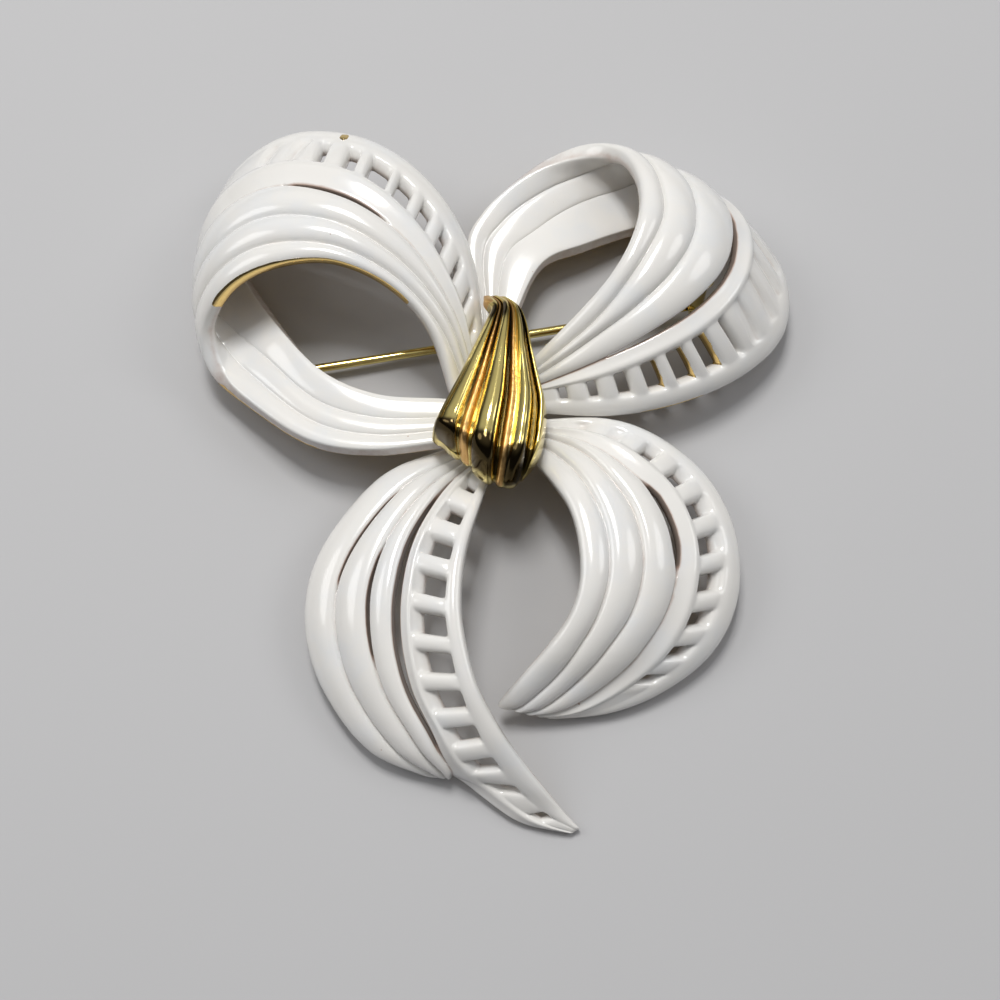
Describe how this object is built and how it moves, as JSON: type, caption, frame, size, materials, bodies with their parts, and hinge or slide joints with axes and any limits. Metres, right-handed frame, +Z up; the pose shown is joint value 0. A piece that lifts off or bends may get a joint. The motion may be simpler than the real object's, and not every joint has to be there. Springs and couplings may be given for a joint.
{
  "type": "bow brooch",
  "caption": "Enamelled bow brooch with ribbed, ladder-pierced ribbon loops and tails, a fluted gold knot and a hinged pin with a hook catch.",
  "frame": {"origin": "middle of the brooch's footprint, on the surface that it lies on", "axes": "+Y along the brooch from its tails to its loops, +Z up out of its face, +X towards the right loop"},
  "size_m": [0.0617, 0.0711, 0.014],
  "materials": {
    "enamel": "gloss white enamel over gold-coloured metal",
    "gold": "polished gold plate, worn in places"
  },
  "bodies": {
    "brooch": {"left_loop": "enamel", "right_loop": "enamel", "left_tail": "enamel", "right_tail": "enamel", "knot": "gold", "hinge_bracket": "gold", "hinge_rivet": "gold", "pin_catch": "gold"},
    "pin": {"pin_stem": "gold"}
  },
  "joints": [
    {"name": "pin_hinge", "type": "hinge", "parent": "brooch", "child": "pin", "pos_m": [-0.0205, 0.01099, 0.0015], "axis": [-0.1751, 0.9845, 0], "range_deg": [0, 90]}
  ]
}
